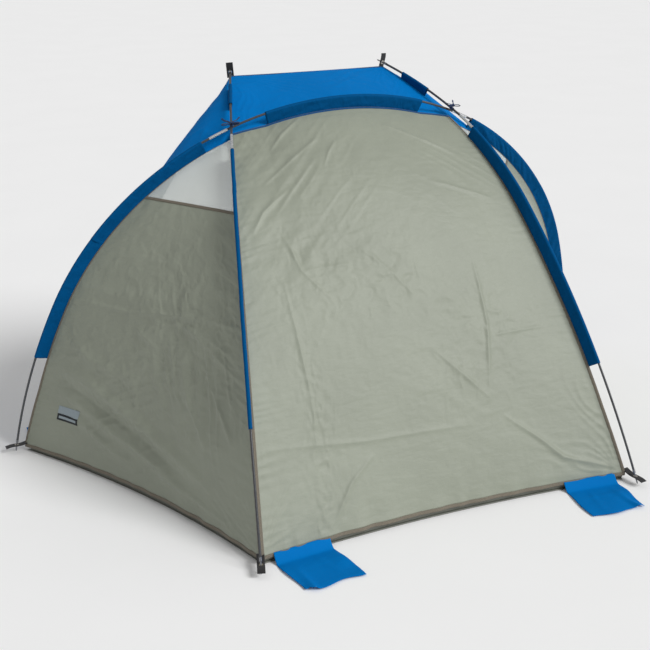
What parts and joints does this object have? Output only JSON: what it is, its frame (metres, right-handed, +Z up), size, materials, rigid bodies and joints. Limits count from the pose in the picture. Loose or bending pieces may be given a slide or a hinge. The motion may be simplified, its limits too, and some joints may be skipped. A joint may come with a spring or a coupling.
{
  "type": "tarp shelter",
  "caption": "Open-fronted beach tarp shelter: crossed bent poles in fabric sleeves hold sloping walls with mesh windows, an awning, a groundsheet and hinged sand flaps.",
  "frame": {"origin": "middle of the footprint on the ground, flaps laid out", "axes": "+Z up, the open front faces -Y, +X to the right seen from the front"},
  "size_m": [2.4726, 1.5182, 1.3514],
  "materials": {
    "wall_cloth": "silver-grey coated polyester plain weave",
    "blue_cloth": "bright blue polyester plain weave",
    "window_mesh": "fine white insect mesh",
    "floor_cloth": "dark coated polyethylene cloth",
    "binding_tape": "brown-grey bias tape",
    "webbing": "black flat webbing",
    "tie_tape": "navy-black tape",
    "patch": "plain sewn patch",
    "elastic": "braided elastic cord",
    "fibreglass": "pultruded charcoal fibreglass",
    "ferrule_metal": "satin metal tube",
    "pin_steel": "plated steel",
    "eyelet_metal": "nickel-plated brass"
  },
  "bodies": {
    "shelter": {"awning_binding": "binding_tape", "awning_tabs": "webbing", "corner_tabs": "webbing", "crown_sleeve": "blue_cloth", "end_pins": "pin_steel", "eyelets": "eyelet_metal", "groundsheet": "floor_cloth", "hoop_ferrules": "ferrule_metal", "hoop_section_1": "fibreglass", "hoop_section_2": "fibreglass", "hoop_section_3": "fibreglass", "hoop_section_4": "fibreglass", "hoop_section_5": "fibreglass", "hoop_section_6": "fibreglass", "hoop_section_7": "fibreglass", "hoop_section_8": "fibreglass", "hoop_sleeve_left": "blue_cloth", "hoop_sleeve_right": "blue_cloth", "mesh_window_left": "window_mesh", "mesh_window_right": "window_mesh", "pole_tie_left": "tie_tape", "pole_tie_right": "tie_tape", "rear_hem_binding": "binding_tape", "rear_mud_wall": "floor_cloth", "rear_wall": "wall_cloth", "roof": "blue_cloth", "roof_sleeve_left": "blue_cloth", "roof_sleeve_right": "blue_cloth", "shock_cords": "elastic", "side_ferrules_left": "ferrule_metal", "side_ferrules_right": "ferrule_metal", "side_hem_binding_left": "binding_tape", "side_hem_binding_right": "binding_tape", "side_mud_wall_left": "floor_cloth", "side_mud_wall_right": "floor_cloth", "side_section_1_left": "fibreglass", "side_section_1_right": "fibreglass", "side_section_2_left": "fibreglass", "side_section_2_right": "fibreglass", "side_section_3_left": "fibreglass", "side_section_3_right": "fibreglass", "side_section_4_left": "fibreglass", "side_section_4_right": "fibreglass", "side_sleeve_left": "blue_cloth", "side_sleeve_right": "blue_cloth", "side_wall_left": "wall_cloth", "side_wall_right": "wall_cloth", "wall_patch": "patch", "window_sill_left": "binding_tape", "window_sill_right": "binding_tape", "wing_left": "blue_cloth", "wing_right": "blue_cloth"},
    "front_flap_left": {"front_flap_left": "blue_cloth"},
    "front_flap_right": {"front_flap_right": "blue_cloth"},
    "rear_flap_left": {"rear_flap_left": "blue_cloth"},
    "rear_flap_right": {"rear_flap_right": "blue_cloth"}
  },
  "joints": [
    {"name": "front_flap_left_hinge", "type": "hinge", "parent": "shelter", "child": "front_flap_left", "pos_m": [-1.03, -0.55411, 0.026], "axis": [-1, 0, 0], "range_deg": [0, 75]},
    {"name": "front_flap_right_hinge", "type": "hinge", "parent": "shelter", "child": "front_flap_right", "pos_m": [1.03, -0.55411, 0.026], "axis": [-1, 0, 0], "range_deg": [0, 75]},
    {"name": "rear_flap_left_hinge", "type": "hinge", "parent": "shelter", "child": "rear_flap_left", "pos_m": [-0.53754, 0.54571, 0.026], "axis": [0.9957, -0.0921, 0], "range_deg": [0, 100]},
    {"name": "rear_flap_right_hinge", "type": "hinge", "parent": "shelter", "child": "rear_flap_right", "pos_m": [0.53754, 0.54571, 0.026], "axis": [0.9957, 0.0921, 0], "range_deg": [0, 100]}
  ]
}
